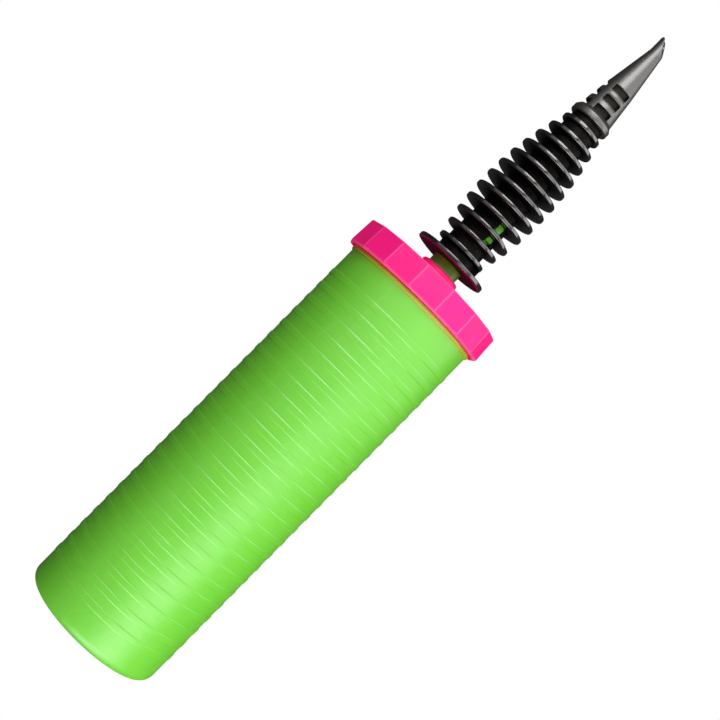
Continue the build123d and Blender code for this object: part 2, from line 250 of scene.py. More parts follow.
def plate_with_holes(
    skin: Skin,
    inner: float,
    outer: float,
    low: float,
    high: float,
    circle: float,
    hole: float,
    count: int,
    around: int,
    turn: float = 0.0,
) -> None:
    """Adds a flat ring with a circle of round holes through it.

    The ring is cut into one wedge for each hole. Points run round the wedge's edge, and a straight
    line joins each to the hole's rim in the same direction from the hole's middle. The walls of
    the holes join the upper face's rims to the lower's.

    Args:
        skin: the mesh that takes the plate.
        inner: the ring's inner radius.
        outer: the ring's outer radius.
        low: height of the lower face.
        high: height of the upper face.
        circle: radius of the circle that the holes stand on.
        hole: radius of each hole.
        count: number of holes.
        around: columns of the surface that the ring meets, a multiple of the holes.
        turn: the first hole's angle from +X, in radians.
    """
    half = math.pi / count
    arc = np.linspace(-half, half, around // count + 1)
    side = np.linspace(0.0, 1.0, 9)[1:-1]
    radii = inner + (outer - inner) * side
    outline = np.concatenate(
        [
            np.stack([outer * np.cos(arc), outer * np.sin(arc)], 1),
            np.stack([radii[::-1] * math.cos(half), radii[::-1] * math.sin(half)], 1),
            np.stack([inner * np.cos(arc[::-1]), inner * np.sin(arc[::-1])], 1),
            np.stack([radii * math.cos(half), -radii * math.sin(half)], 1),
        ]
    )
    centre = np.array([circle, 0.0])
    away = outline - centre
    rim = centre + hole * away / np.linalg.norm(away, axis=1)[:, None]
    share = np.linspace(0.0, 1.0, 5)[:, None, None]
    flat = rim[None] * (1.0 - share) + outline[None] * share
    for number in range(count):
        angle = turn + TAU * number / count
        spin = np.array([[math.cos(angle), math.sin(angle)], [-math.sin(angle), math.cos(angle)]])
        placed = flat @ spin
        for height in (low, high):
            skin.add(np.dstack([placed, np.full(placed.shape[:2], height)]))
        wall = np.stack([placed[0], placed[0]])
        skin.add(np.dstack([wall, np.repeat([[low], [high]], wall.shape[1], axis=1)]))


def join_columns(
    skin: Skin, angles: np.ndarray, columns: int, inner: float, outer: float, height: float
) -> None:
    """Adds a flat ring that joins a plate's even columns to a surface's uneven ones.

    Each uneven column is joined to the nearest even one at or below its angle.

    Args:
        skin: the mesh that takes the ring.
        angles: the surface's columns, in radians.
        columns: how many even columns the plate has.
        inner: the plate's radius.
        outer: the surface's radius.
        height: the height of both.
    """
    step = TAU / columns
    snapped = np.floor(angles / step + 1e-6) * step
    rim = inner * np.stack([np.cos(snapped), np.sin(snapped)], 1)
    edge = outer * np.stack([np.cos(angles), np.sin(angles)], 1)
    flat = np.stack([rim, edge])
    skin.add(np.dstack([flat, np.full(flat.shape[:2], height)]))


# ---------------------------------------------------------------- barrel
@dataclass
class Barrel:
    """The green barrel: closed floor with air holes, shallow bands, collar and rim."""

    radius: float = 27.6
    wall: float = 1.4
    rim: float = 167.6
    floor: float = 2.0
    corner: float = 8.2
    bore_corner: float = 5.6
    recess: float = 0.6
    recess_radius: float = 17.0
    bands: int = 23
    first_band: float = 13.0
    last_band: float = 148.0
    band_half: float = 1.15
    band_edge_low: float = 0.24
    band_edge_high: float = 0.28
    band_height: float = 0.2
    band_rows: tuple[float, ...] = (-1.7, -1.0, -0.55, 0.0, 0.55, 1.0, 1.7)
    spare_rows: int = 40
    collar_low: float = 158.9
    collar_high: float = 160.2
    collar_radius: float = 28.2
    collar_gap: float = 0.3
    collar_round: float = 0.5
    rows_under_collar: tuple[float, ...] = (2.4, 1.8, 1.2, 0.7)
    # Painted reflection: the wall at the collar and in the gap under the cap is tinted orange as if lit by
    # the pink cap.
    painted_reflection_at_collar: tuple[float, float] = (-1.3, 0.1)
    painted_reflection_above_collar: tuple[float, float] = (-0.2, 0.05)
    painted_reflection_share: float = 0.4
    edge_round: float = 0.3
    root_round: float = 0.2
    bead_low: float = 164.6
    bead_high: float = 165.8
    bead_radius: float = 28.5
    plate_radius: float = 9.0
    hole_circle: float = 5.6
    hole_radius: float = 1.4
    hole_count: int = 6
    join_width: float = 0.4
    core_gap: float = 1.2
    columns: int = 180
    seam_degrees: tuple[float, float] = (-107.7, 72.3)
    seam_height: float = 0.02
    seam_half: float = 0.5
    seam_columns: tuple[float, ...] = (0.006, 0.012, 0.0185, 0.026)
    seam_inset: float = 0.2
    seam_top_gap: float = 1.0

    def band_heights(self) -> np.ndarray:
        """The height of each band's middle."""
        return np.linspace(self.first_band, self.last_band, self.bands)

    def wall_path(self) -> np.ndarray:
        """The outer wall between the corner and the collar, with rows gathered at the band edges.

        Each band rises in a short smooth step and falls back in a longer one.

        Returns:
            (radius, height) points. The radius grows by the band height on each band.
        """
        middles, half = self.band_heights(), self.band_half
        edge_low, edge_high = self.band_edge_low, self.band_edge_high
        spread = np.array(self.band_rows)
        beside = np.concatenate([-half + edge_low * spread, [0.0], half + edge_high * spread])
        banded = (middles[:, None] + beside[None, :]).ravel()
        wall_top = self.collar_low - self.collar_gap
        spare = np.linspace(self.corner, wall_top, self.spare_rows)
        under_collar = self.collar_low - np.array(self.rows_under_collar)
        heights = np.sort(np.concatenate([banded, spare, under_collar]))
        heights = heights[(heights >= self.corner) & (heights <= wall_top)]
        away = heights[:, None] - middles[None, :]
        away = away[np.arange(len(heights)), np.abs(away).argmin(axis=1)]
        rise = smooth_step(-half - edge_low, -half + edge_low, away)
        rise = rise - smooth_step(half - edge_high, half + edge_high, away)
        return np.stack([self.radius + self.band_height * rise, heights], axis=1)

    def angles(self) -> np.ndarray:
        """Columns: even ones, with more beside the two mould seams."""
        seams = [math.radians(a) for a in self.seam_degrees]
        beside = [side * step for step in self.seam_columns for side in (-1, 1)]
        return add_columns(even_angles(self.columns), seams, [0.0, *beside])

    def raise_seams(self, grid: np.ndarray, angles: np.ndarray) -> np.ndarray:
        """Adds the mould's parting line to the outer wall.

        The wall moves outwards by the seam height times a plateau across each seam's angle.

        Args:
            grid: the wall's points.
            angles: the columns' angles.

        Returns:
            The grid with its seams.
        """
        width = self.seam_half / self.radius
        lift = np.zeros_like(angles)
        for degrees in self.seam_degrees:
            away = turn_from(angles, math.radians(degrees))
            lift = lift + plateau(0.0, width / 2, width / 2, away)
        radius = np.hypot(grid[..., 0], grid[..., 1])
        scale = 1.0 + self.seam_height * lift[None, :] / radius
        return np.dstack([grid[..., 0] * scale, grid[..., 1] * scale, grid[..., 2]])

    def painted_reflection(self, height: np.ndarray) -> np.ndarray:
        """How much of the painted reflection of the cap's pink light the wall takes: part at the collar,
        all of it above.
        """
        (low, level), (start, full) = self.painted_reflection_at_collar, self.painted_reflection_above_collar
        collar = smooth_step(self.collar_low + low, self.collar_low + level, height)
        above = smooth_step(self.collar_high + start, self.collar_high + full, height)
        return self.painted_reflection_share * collar + (1.0 - self.painted_reflection_share) * above

    def build(self) -> bpy.types.Object:
        """Makes the barrel's mesh.

        Returns:
            The barrel, closed, with its holes.
        """
        skin = Skin()
        angles = self.angles()
        inner = self.radius - self.wall
        edge, root, collar = self.edge_round, self.root_round, self.collar_round
        under = rounded_path(
            [
                (self.plate_radius, self.recess, 0),
                (self.recess_radius, self.recess, edge),
                (self.recess_radius + self.recess, 0.0, edge),
                (self.radius, 0.0, self.corner),
                (self.radius, self.corner + 0.1, 0),
            ],
            steps=14,
        )
        top = rounded_path(
            [
                (self.radius, self.collar_low - self.collar_gap, 0),
                (self.radius, self.collar_low, root),
                (self.collar_radius, self.collar_low, collar),
                (self.collar_radius, self.collar_high, collar),
                (self.radius, self.collar_high, root),
                (self.radius, self.bead_low, root),
                (self.bead_radius, (self.bead_low + self.bead_high) / 2, edge),
                (self.radius, self.bead_high, root),
                (self.radius, self.rim, edge),
                (inner, self.rim, edge),
                (inner, self.floor, self.bore_corner),
                (self.plate_radius, self.floor, 0),
            ],
            steps=7,
        )
        path = np.vstack([under[:-1], self.wall_path(), top])
        grid = revolve(path, angles)
        outside = path[:, 0] > inner + self.seam_inset
        outside &= path[:, 1] < self.collar_low - self.seam_top_gap
        grid = np.where(outside[:, None, None], self.raise_seams(grid, angles), grid)
        # The mask here carries the painted reflection of the cap's pink light at the collar.
        skin.add(grid, wear_and_painted_light=np.repeat(self.painted_reflection(path[:, 1])[:, None], len(angles), axis=1))
        self.add_floor(skin, angles)
        return skin.build("barrel_shell")

    def add_floor(self, skin: Skin, angles: np.ndarray) -> None:
        """Adds the middle of the floor, with its air holes.

        A narrow ring joins the wall's columns to the plate's even ones, and discs close the middle.

        Args:
            skin: the barrel's mesh.
            angles: the wall's columns.
        """
        around = self.columns
        plate_rim = self.plate_radius - self.join_width
        core = self.hole_circle - self.hole_radius - self.core_gap
        plate_with_holes(
            skin, core, plate_rim, self.recess, self.floor,
            self.hole_circle, self.hole_radius, self.hole_count, around,
        )
        for height in (self.recess, self.floor):
            disc = np.array([[0.0, height], [core, height]])
            skin.add(revolve(disc, even_angles(around)))
            join_columns(skin, angles, around, plate_rim, self.plate_radius, height)


# ---------------------------------------------------------------- cap
@dataclass
class Cap:
    """The pink cap: sixteen flats, a raised neck, air holes and an inner sleeve."""

    low: float = 160.3
    high: float = 170.7
    corner_radius: float = 30.99
    sides: int = 16
    turn_degrees: float = 14.5
    taper_degrees: float = 3.3
    plate: float = 2.1
    bore: float = 28.8
    neck_radius: float = 8.0
    neck_height: float = 4.5
    neck_round: float = 1.7
    neck_bore: float = 6.2
    sleeve_radius: float = 10.0
    sleeve_low: float = 160.0
    pocket_radius: float = 8.4
    pocket_high: float = 164.6
    hole_circle: float = 15.0
    hole_radius: float = 1.3
    hole_count: int = 8
    plate_inner: float = 11.5
    plate_outer: float = 18.5
    join_width: float = 0.5
    edge_half: float = 0.35
    edge_soft: float = 0.4
    top_edge: tuple[float, float] = (0.42, 0.2)
    bottom_edge: tuple[float, float] = (1.1, 0.5)
    bottom_inset: float = 0.6
    facet_half: float = 0.011
    facet_soft: float = 0.006
    facet_fade: float = 0.3
    facet_columns: tuple[float, ...] = (0.003, 0.007, 0.012)
    columns: int = 320
    crispness: float = 900.0

    def outline(self, angles: np.ndarray) -> np.ndarray:
        """The distance to a sixteen-sided outline of unit corner radius, with soft corners.

        Each flat's line is cos(half a side) / cos(angle from the flat's normal). The nearest line
        is picked by a power mean of a high power, which rounds the corners.

        Args:
            angles: directions from the axis.

        Returns:
            The outline's radius in each direction.
        """
        half = math.pi / self.sides
        normals = math.radians(self.turn_degrees) + half + TAU * np.arange(self.sides) / self.sides
        facing = np.clip(np.cos(angles[:, None] - normals[None, :]), 0.0, 1.0)
        blend = (facing**self.crispness).sum(axis=1) ** (1.0 / self.crispness)
        return math.cos(half) / blend

    def angles(self) -> np.ndarray:
        """Columns: even ones, with more beside each corner."""
        corners = math.radians(self.turn_degrees) + TAU * np.arange(self.sides) / self.sides
        beside = [side * step for step in self.facet_columns for side in (-1, 1)]
        return add_columns(even_angles(self.columns), list(corners), [0.0, *beside])

    def shaped(self, path: np.ndarray, angles: np.ndarray, share: np.ndarray) -> np.ndarray:
        """Revolves a path whose rows turn from round to sixteen-sided.

        The radius is the path's, times 1 plus the share times (outline minus 1).

        Args:
            path: (radius, height) points.
            angles: the columns.
            share: how sixteen-sided each row is, from 0 to 1.

        Returns:
            The grid of points.
        """
        factor = 1.0 + share[:, None] * (self.outline(angles)[None, :] - 1.0)
        grid = revolve(path, angles)
        return np.dstack([grid[..., 0] * factor, grid[..., 1] * factor, grid[..., 2]])

    def top_radius(self) -> float:
        """The corner radius at the top, where the side's lean has brought it in."""
        lean = (self.high - self.low) * math.tan(math.radians(self.taper_degrees))
        return self.corner_radius - lean

    def edges(self, path: np.ndarray, angles: np.ndarray, share: np.ndarray) -> np.ndarray:
        """Where the skirt's edges are: its upper and lower ones, and the corners of its flats.

        Args:
            path: the skirt's (radius, height) points.
            angles: the columns.
            share: how sixteen-sided each row is, from 0 to 1.

        Returns:
            How far each point belongs to an edge, from 0 to 1. The cap's finish paints highlight lines and
            wear there.
        """
        radius, height = path[:, 0], path[:, 1]
        (start, full), (fade, solid) = self.top_edge, self.bottom_edge
        top = plateau(self.top_radius(), self.edge_half, self.edge_soft, radius)
        top = top * smooth_step(self.high - start, self.high - full, height)
        bottom = smooth_step(-self.low - fade, -self.low - solid, -height)
        bottom = bottom * (radius > self.bore + self.bottom_inset)
        side = TAU / self.sides
        beside = np.mod(angles - math.radians(self.turn_degrees) + side / 2, side) - side / 2
        upright = share * smooth_step(-self.high, self.facet_fade - self.high, -height)
        corner = plateau(0.0, self.facet_half, self.facet_soft, beside)[None, :] * upright[:, None]
        return np.maximum(np.maximum(top, bottom)[:, None], corner)

    def build(self) -> bpy.types.Object:
        """Makes the cap's mesh.

        Returns:
            The cap, closed, with its holes.
        """
        skin = Skin()
        angles = self.angles()
        ceiling = self.high - self.plate
        skirt = rounded_path(
            [
                (self.plate_outer, ceiling, 0),
                (self.bore, ceiling, 0.5),
                (self.bore, self.low, 0.5),
                (self.corner_radius, self.low, 1.3),
                (self.top_radius(), self.high, 0.55),
                (self.plate_outer, self.high, 0),
            ],
            steps=9,
        )
        share = smooth_step(self.bore - 0.05, self.bore + 0.9, skirt[:, 0])
        # The edge mask carries the cap's painted highlight lines and its edge wear.
        skin.add(self.shaped(skirt, angles, share), wear_and_painted_light=self.edges(skirt, angles, share))
        neck_high = self.high + self.neck_height
        neck = rounded_path(
            [
                (self.plate_inner, self.high, 0),
                (self.neck_radius + 0.1, self.high, 0.5),
                (self.neck_radius, neck_high, self.neck_round),
                (self.neck_bore, neck_high, 0.25),
                (self.neck_bore, self.pocket_high, 0),
                (self.pocket_radius, self.pocket_high, 0),
                (self.pocket_radius, self.sleeve_low, 0.2),
                (self.sleeve_radius, self.sleeve_low, 0.3),
                (self.sleeve_radius, ceiling, 0.2),
                (self.plate_inner, ceiling, 0),
            ],
            steps=7,
        )
        skin.add(revolve(neck, even_angles(self.columns)))
        plate_rim = self.plate_outer - self.join_width
        plate_with_holes(
            skin, self.plate_inner, plate_rim, ceiling, self.high,
            self.hole_circle, self.hole_radius, self.hole_count, self.columns,
        )
        for height in (ceiling, self.high):
            join_columns(skin, angles, self.columns, plate_rim, self.plate_outer, height)
        return skin.build("cap_shell", sharp_degrees=50.0)


# ---------------------------------------------------------------- rod
@dataclass
class Rod:
    """The green hollow rod with its two locking lugs."""

    radius: float = 6.1
    bore: float = 4.2
    low: float = 17.0
    high: float = 206.0
    lug_low: float = 193.2
    lug_high: float = 201.7
    lug_width: float = 3.5
    lug_reach: float = 7.35
    lug_degrees: tuple[float, float] = (-51.5, 128.5)
    edge_round: float = 0.3
    columns: int = 96

    def build(self) -> bpy.types.Object:
        """Makes the rod's mesh.

        The outer radius rises from the rod's to the lug's by a plateau across the lug's angle
        times a plateau along its height.

        Returns:
            The rod, closed.
        """
        half = self.lug_width / 2 / self.lug_reach
        centres = [math.radians(a) for a in self.lug_degrees]
        fine = half + 0.02 * np.linspace(-1.5, 1.5, 7)
        angles = add_columns(even_angles(self.columns), centres, list(fine) + list(-fine))
        edge_rows = 0.25 * np.linspace(-1, 1, 6)
        lug_rows = np.concatenate([self.lug_low + edge_rows, self.lug_high + edge_rows])
        rows = np.sort(np.concatenate([np.linspace(self.low + 0.5, self.high - 0.5, 60), lug_rows]))
        lug = np.zeros((len(rows), len(angles)))
        tall = plateau((self.lug_low + self.lug_high) / 2, (self.lug_high - self.lug_low) / 2, 0.4, rows)
        for centre in centres:
            away = turn_from(angles, centre)
            lug = lug + tall[:, None] * plateau(0.0, half - 0.015, 0.05, away)[None, :]
        radius = self.radius + (self.lug_reach - self.radius) * lug
        outside = np.dstack(
            [
                radius * np.cos(angles)[None, :],
                radius * np.sin(angles)[None, :],
                np.repeat(rows[:, None], len(angles), axis=1),
            ]
        )
        top = rounded_path(
            [
                (self.radius, self.high - 0.5, 0),
                (self.radius, self.high, self.edge_round),
                (self.bore, self.high, self.edge_round),
                (self.bore, self.low, self.edge_round),
                (self.radius, self.low, self.edge_round),
                (self.radius, self.low + 0.5, 0),
            ],
            steps=4,
        )
        skin = Skin()
        skin.add(outside)
        skin.add(revolve(top, angles))
        return skin.build("rod_tube")


# ---------------------------------------------------------------- grip
@dataclass
class Grip:
    """The black grip: a flange, twelve thin fins, two gussets and two pairs of windows."""

    low: float = 178.8
    flange_high: float = 180.8
    flange_radius: float = 14.8
    core_low_radius: float = 7.5
    core_high_radius: float = 6.6
    high: float = 249.0
    fins: int = 12
    first_fin: float = 185.3
    pitch: float = 5.487
    widest_fin: float = 5.9
    widest_radius: float = 13.3
    girth_falloff: float = 0.1355
    fin_rim: float = 1.5
    fin_root: float = 2.2
    fin_round: float = 0.42
    bore: float = 6.2
    bore_high: float = 206.3
    air_bore: float = 4.4
    socket: float = 5.5
    socket_low: float = 240.0
    window_low: float = 192.3
    window_high: float = 200.65
    window_width: float = 3.9
    window_degrees: tuple[float, float] = (-51.5, 128.5)
    window_clear: float = 0.012
    bridging_fin: int = 3
    bridge_margin: float = 0.55
    gusset_reach: tuple[float, float] = (9.8, 7.9)
    gusset_thickness: float = 1.6
    gusset_step: float = 0.03
    gusset_soft: float = 0.05
    sag_fin: int = 3
    sag: float = 0.75
    sag_turn: float = 0.05
    sag_half: float = 0.85
    sag_soft: float = 0.75
    rim_depth: float = 0.55
    rim_fade: float = 0.5
    columns: int = 132

    def fin_height(self, number: int) -> float:
        """The height of a fin's middle; fins are numbered from 1 at the flange."""
        return self.first_fin + self.pitch * (number - 1)

    def fin_radius(self, number: float | np.ndarray) -> float | np.ndarray:
        """The radius of a fin: the widest less the falloff times the squared distance from it."""
        return self.widest_radius - self.girth_falloff * (number - self.widest_fin) ** 2

    def rim_radius(self, height: np.ndarray) -> np.ndarray:
        """The radius of the flange, or of the fin nearest to each height."""
        number = np.clip(np.round((height - self.first_fin) / self.pitch) + 1, 1, self.fins)
        return np.where(height < self.flange_high + 0.3, self.flange_radius, self.fin_radius(number))

    def core(self, height: float) -> float:
        """The core's radius, which narrows evenly from the flange to the top."""
        share = (height - self.flange_high) / (self.high - self.flange_high)
        return self.core_low_radius + (self.core_high_radius - self.core_low_radius) * share

    def window_spans(self) -> list[tuple[float, float]]:
        """The heights of the windows below and above the fin that bridges them."""
        middle, half = self.fin_height(self.bridging_fin), self.fin_root / 2 + self.bridge_margin
        return [(self.window_low, middle - half), (middle + half, self.window_high)]

    def outer_path(self) -> np.ndarray:
        """The outline from the flange's underside to the top, with every fin.

        Returns:
            (radius, height) points. Each window's two heights are points of their own.
        """
        corners = [
            (self.bore, self.low, 0.0),
            (self.flange_radius - 1.6, self.low, 0.5),
            (self.flange_radius, self.low + 0.35, 0.3),
            (self.flange_radius, self.flange_high, 0.45),
            (self.core(self.flange_high), self.flange_high, 0.6),
        ]
        spans = self.window_spans()
        for number in range(1, self.fins + 1):
            middle, reach = self.fin_height(number), self.fin_radius(number)
            root_low, root_high = middle - self.fin_root / 2, middle + self.fin_root / 2
            corners += [
                (self.core(root_low), root_low, 0.35),
                (reach, middle - self.fin_rim / 2, self.fin_round),
                (reach, middle + self.fin_rim / 2, self.fin_round),
                (self.core(root_high), root_high, 0.35),
            ]
            corners += [
                (self.core(height), height, 0.0)
                for span in spans
                for height in span
                if root_high < height < self.fin_height(number + 1) - self.fin_root / 2
            ]
        corners += [(self.core(self.high), self.high, 0.4), (self.socket, self.high, 0.0)]
        return rounded_path(corners, steps=6)

    def inner_path(self) -> np.ndarray:
        """The bore from the top down to the flange, with a point at each window's heights.

        Returns:
            (radius, height) points.
        """
        heights = sorted({height for span in self.window_spans() for height in span}, reverse=True)
        corners = [
            (self.socket, self.high),
            (self.socket, self.socket_low),
            (self.air_bore, self.socket_low),
            (self.air_bore, self.bore_high),
            (self.bore, self.bore_high),
        ]
        corners += [(self.bore, height) for height in heights]
        corners += [(self.bore, self.low)]
        return np.array(corners)

    def angles(self) -> np.ndarray:
        """Columns: even ones, with more at the gussets' and the windows' sides."""
        gusset = self.gusset_thickness / 2 / self.gusset_reach[0]
        beside = [gusset + self.gusset_step * step for step in (-1.2, -0.6, 0.0, 0.6, 1.2)]
        angles = add_columns(
            even_angles(self.columns), [0.0, math.pi], beside + [-offset for offset in beside]
        )
        half = self.window_width / 2 / self.core_low_radius
        centres = [math.radians(a) for a in self.window_degrees]
        edges = np.mod([centre + side * half for centre in centres for side in (-1, 1)], TAU)
        clear = np.abs(turn_from(angles[:, None], edges[None, :])).min(axis=1) > self.window_clear
        return np.sort(np.concatenate([angles[clear], edges]))

    def shape(self, grid: np.ndarray, angles: np.ndarray) -> np.ndarray:
        """Adds the gussets and the sag of one fin.

        Between the flange and the first fin, the radius is at least the gusset's reach times a
        plateau across its thickness. The sagging fin drops by a smooth hump round +X, in
        proportion to the distance from the core.

        Args:
            grid: the outline turned round the axis.
            angles: the columns.

        Returns:
            The shaped grid.
        """
        radius = np.hypot(grid[..., 0], grid[..., 1])
        height = grid[..., 2]
        half = self.gusset_thickness / 2 / self.gusset_reach[0]
        wanted = np.zeros_like(radius)
        for reach, centre in zip(self.gusset_reach, (0.0, math.pi)):
            away = turn_from(angles, centre)
            across = plateau(0.0, half, self.gusset_soft, away)[None, :]
            wanted = np.maximum(wanted, self.core_low_radius + (reach - self.core_low_radius) * across)
        first = self.fin_height(1) - self.fin_rim / 2
        between = (height > self.flange_high - 0.02) & (height < first) & (radius > self.bore + 0.5)
        grown = np.where(between, np.maximum(radius, wanted), radius)
        middle = self.fin_height(self.sag_fin)
        around = turn_from(angles, 0.0)[None, :]
        reach = self.fin_radius(self.sag_fin) - self.core_low_radius
        share = np.clip((radius - self.core(middle)) / reach, 0.0, 1.0)
        near = np.abs(height - middle) < self.fin_root / 2 + 0.05
        drop = self.sag * share * plateau(self.sag_turn, self.sag_half, self.sag_soft, around) * near
        return np.stack(
            [grown * np.cos(angles)[None, :], grown * np.sin(angles)[None, :], height - drop], axis=2
        )

    def window_columns(self, angles: np.ndarray) -> list[np.ndarray]:
        """The columns of each window, from one side to the other."""
        half = self.window_width / 2 / self.core_low_radius + 1e-6
        picked = []
        for degrees in self.window_degrees:
            away = turn_from(angles, math.radians(degrees))
            inside = np.flatnonzero(np.abs(away) <= half)
            picked.append(inside[np.argsort(away[inside])])
        return picked

    def open_rows(self, path: np.ndarray) -> list[int]:
        """The rows of faces that the windows open, found by their two heights on the core."""
        rows = []
        for low, high in self.window_spans():
            for first, second in ((low, high), (high, low)):
                match = np.isclose(path[:-1, 1], first) & np.isclose(path[1:, 1], second)
                rows += list(np.flatnonzero(match & (path[:-1, 0] < self.core_low_radius)))
        return rows

    def add_windowed(
        self,
        skin: Skin,
        grid: np.ndarray,
        path: np.ndarray,
        picked: list[np.ndarray],
        wear_and_painted_light: np.ndarray | None = None,
    ) -> None:
        """Adds a surface with its windows left open.

        Args:
            skin: the grip's mesh.
            grid: the surface.
            path: the outline that the surface came from.
            picked: each window's columns.
            wear_and_painted_light: how far each point belongs to a rim, from 0 to 1.
        """
        keep = np.ones((grid.shape[0] - 1, grid.shape[1]), bool)
        for columns in picked:
            keep[np.ix_(self.open_rows(path), columns[:-1])] = False
        skin.add(grid, wear_and_painted_light=wear_and_painted_light, keep=keep)

    def build(self) -> bpy.types.Object:
        """Makes the grip's mesh.

        Returns:
            The grip, closed, with its windows cut through to the bore.
        """
        skin = Skin()
        angles = self.angles()
        picked = self.window_columns(angles)
        outer, inner = self.outer_path(), self.inner_path()
        depth = self.rim_radius(outer[:, 1]) - outer[:, 0]
        rims = np.repeat(plateau(0.0, self.rim_depth, self.rim_fade, depth)[:, None], len(angles), axis=1)
        self.add_windowed(skin, self.shape(revolve(outer, angles), angles), outer, picked, rims)
        self.add_windowed(skin, revolve(inner, angles), inner, picked)
        for columns in picked:
            for low, high in self.window_spans():
                self.add_frame(skin, angles[columns], low, high)
        return skin.build("grip_body")

    def add_frame(self, skin: Skin, angles: np.ndarray, low: float, high: float) -> None:
        """Adds the four walls of a window, from the core's surface to the bore.

        Args:
            skin: the grip's mesh.
            angles: the window's columns.
            low: the window's lowest height.
            high: its highest.
        """
        for height in (low, high):
            ring = np.array([[self.core(height), height], [self.bore, height]])
            skin.add(revolve(ring, angles), around=False)
        for angle in (angles[0], angles[-1]):
            side = np.array([[self.core(low), low], [self.core(high), high]])
            back = np.array([[self.bore, low], [self.bore, high]])
            ends = np.array([angle])
            wall = np.concatenate([revolve(side, ends), revolve(back, ends)], axis=1)
            skin.add(wall, around=False)


# ---------------------------------------------------------------- nozzle
@dataclass
class Nozzle:
    """The black nozzle: a slotted skirt, a long cone and a slant-cut tip."""

    spigot_low: float = 240.3
    spigot_radius: float = 5.45
    low: float = 249.3
    skirt_radius: float = 8.15
    skirt_high: float = 251.4
    slope_radius: float = 7.1
    first_slot: float = 252.9
    slot_pitch: float = 4.9
    slot_width: float = 2.4
    slots: int = 3
    core_radius: float = 5.4
    core_step: float = 0.4
    rail_low: float = -4.7
    rail_high: float = -2.6
    side_rail: float = 4.3
    rail_fade: float = 0.07
    slot_shade: tuple[float, float] = (0.6, 0.1)
    wall_round: float = 0.3
    cone_low: float = 265.3
    cone_radius: float = 5.55
    tip_low: float = 284.0
    tip_radius: float = 2.65
    tip_high: float = 290.0
    tip_bore: float = 1.7
    bore: float = 3.1
    bore_narrows: float = 262.0
    bore_taper: float = 8.0
    cut_height: float = 288.2
    cut_slope: float = 58.0
    cut_degrees: float = 159.0
    cut_soft: float = 0.25
    rim_round: float = 0.3

    def slope(self, height: np.ndarray) -> np.ndarray:
        """The outer radius at each height, in straight runs from the skirt to the tip."""
        return np.interp(
            height,
            [self.low, self.skirt_high, self.first_slot, self.cone_low, self.tip_low, self.tip_high],
            [self.skirt_radius, self.skirt_radius, self.slope_radius, self.cone_radius,
             self.tip_radius, self.tip_radius],
        )

    def shares(self) -> tuple[np.ndarray, np.ndarray]:
        """Where the columns stand between the rails' edges.

        The way round is cut at the rails' four edges. A column's place is a whole number at an
        edge, and the fraction of the way to the next edge between them.

        Returns:
            The columns' places from 0 to 4, and how much of a rail each one is, from 0 to 1.
        """
        fine = np.array([0.0, 0.02, 0.045, 0.07, 0.1])
        even = np.linspace(0.0, 1.0, 26)[4:-4]
        wide = np.concatenate([fine, even, 1.0 - fine[::-1][:-1]])
        rail = np.linspace(0.0, 1.0, 9)[:-1]
        spans = [wide, rail, wide, wide]
        place = np.concatenate([number + span for number, span in enumerate(spans)])
        place = np.unique(np.round(place, 6))
        away = np.minimum.reduce([np.abs(place - edge) for edge in range(5)])
        whole = np.floor(place).astype(int) % 4
        in_rail = (whole == 1) | (whole == 3)
        share = np.where(in_rail, 1.0, 1.0 - smooth_step(0.0, self.rail_fade, away))
        return place, share

    def directions(self, place: np.ndarray, radius: np.ndarray) -> np.ndarray:
        """The angle of each column on a ring of each radius.

        The rails' edges are lines of constant x, so on a ring of radius r an edge stands at the
        angle whose cosine is x over r. The columns between are spread evenly.

        Args:
            place: the columns' places between the edges.
            radius: the rings' radii.

        Returns:
            Angles, one row for each ring.
        """
        left = -np.arccos(np.clip(self.rail_low / radius, -1.0, 1.0))
        right = -np.arccos(np.clip(self.rail_high / radius, -1.0, 1.0))
        side = np.arccos(np.clip(self.side_rail / radius, -1.0, 1.0))
        edges = np.stack([side, left + TAU, right + TAU, TAU - side, side + TAU], axis=1)
        whole = np.minimum(np.floor(place).astype(int), 3)
        part = (place - whole)[None, :]
        return edges[:, whole] * (1.0 - part) + edges[:, whole + 1] * part

    def heights(self) -> np.ndarray:
        """Rows of the skirt and cone, gathered at the slots' edges."""
        edge = self.wall_round * np.array([-0.6, -0.35, -0.12, 0.12, 0.35, 0.6])
        slots = self.first_slot + self.slot_pitch * np.arange(self.slots)
        rims = np.concatenate([slots, slots + self.slot_width])
        fine = (rims[:, None] + edge[None, :]).ravel()
        spare = np.concatenate(
            [
                [self.skirt_high - 0.25, self.skirt_high, self.skirt_high + 0.25],
                np.linspace(self.cone_low + 0.4, self.tip_low - 2.5, 18),
                slots + self.slot_width / 2,
                (slots[:-1] + self.slot_width + slots[1:]) / 2,
            ]
        )
        return np.sort(np.concatenate([fine, spare]))

    def body(self, place: np.ndarray, share: np.ndarray, heights: np.ndarray) -> np.ndarray:
        """The skirt and cone, with slots cut in to the core except at the rails.

        Each point lies between the core's ring and the outer ring, on the line that joins their
        points of the same column. It is at the outer ring outside the slots and on the rails.

        Args:
            place: the columns' places.
            share: how much of a rail each column is.
            heights: the rows.

        Returns:
            The grid of points.
        """
        starts = self.first_slot + self.slot_pitch * np.arange(self.slots)
        middles = starts + self.slot_width / 2
        nearest = np.abs(heights[:, None] - middles[None, :]).argmin(axis=1)
        cut = plateau(0.0, self.slot_width / 2, self.wall_round, heights - middles[nearest])
        outer = self.slope(heights)
        core = np.minimum(self.core_radius - self.core_step * nearest, outer - 0.05)
        far = self.directions(place, outer)
        near = self.directions(place, core)
        mix = 1.0 - cut[:, None] * (1.0 - share[None, :])
        x = core[:, None] * np.cos(near) * (1 - mix) + outer[:, None] * np.cos(far) * mix
        y = core[:, None] * np.sin(near) * (1 - mix) + outer[:, None] * np.sin(far) * mix
        return np.dstack([x, y, np.repeat(heights[:, None], len(place), axis=1)])

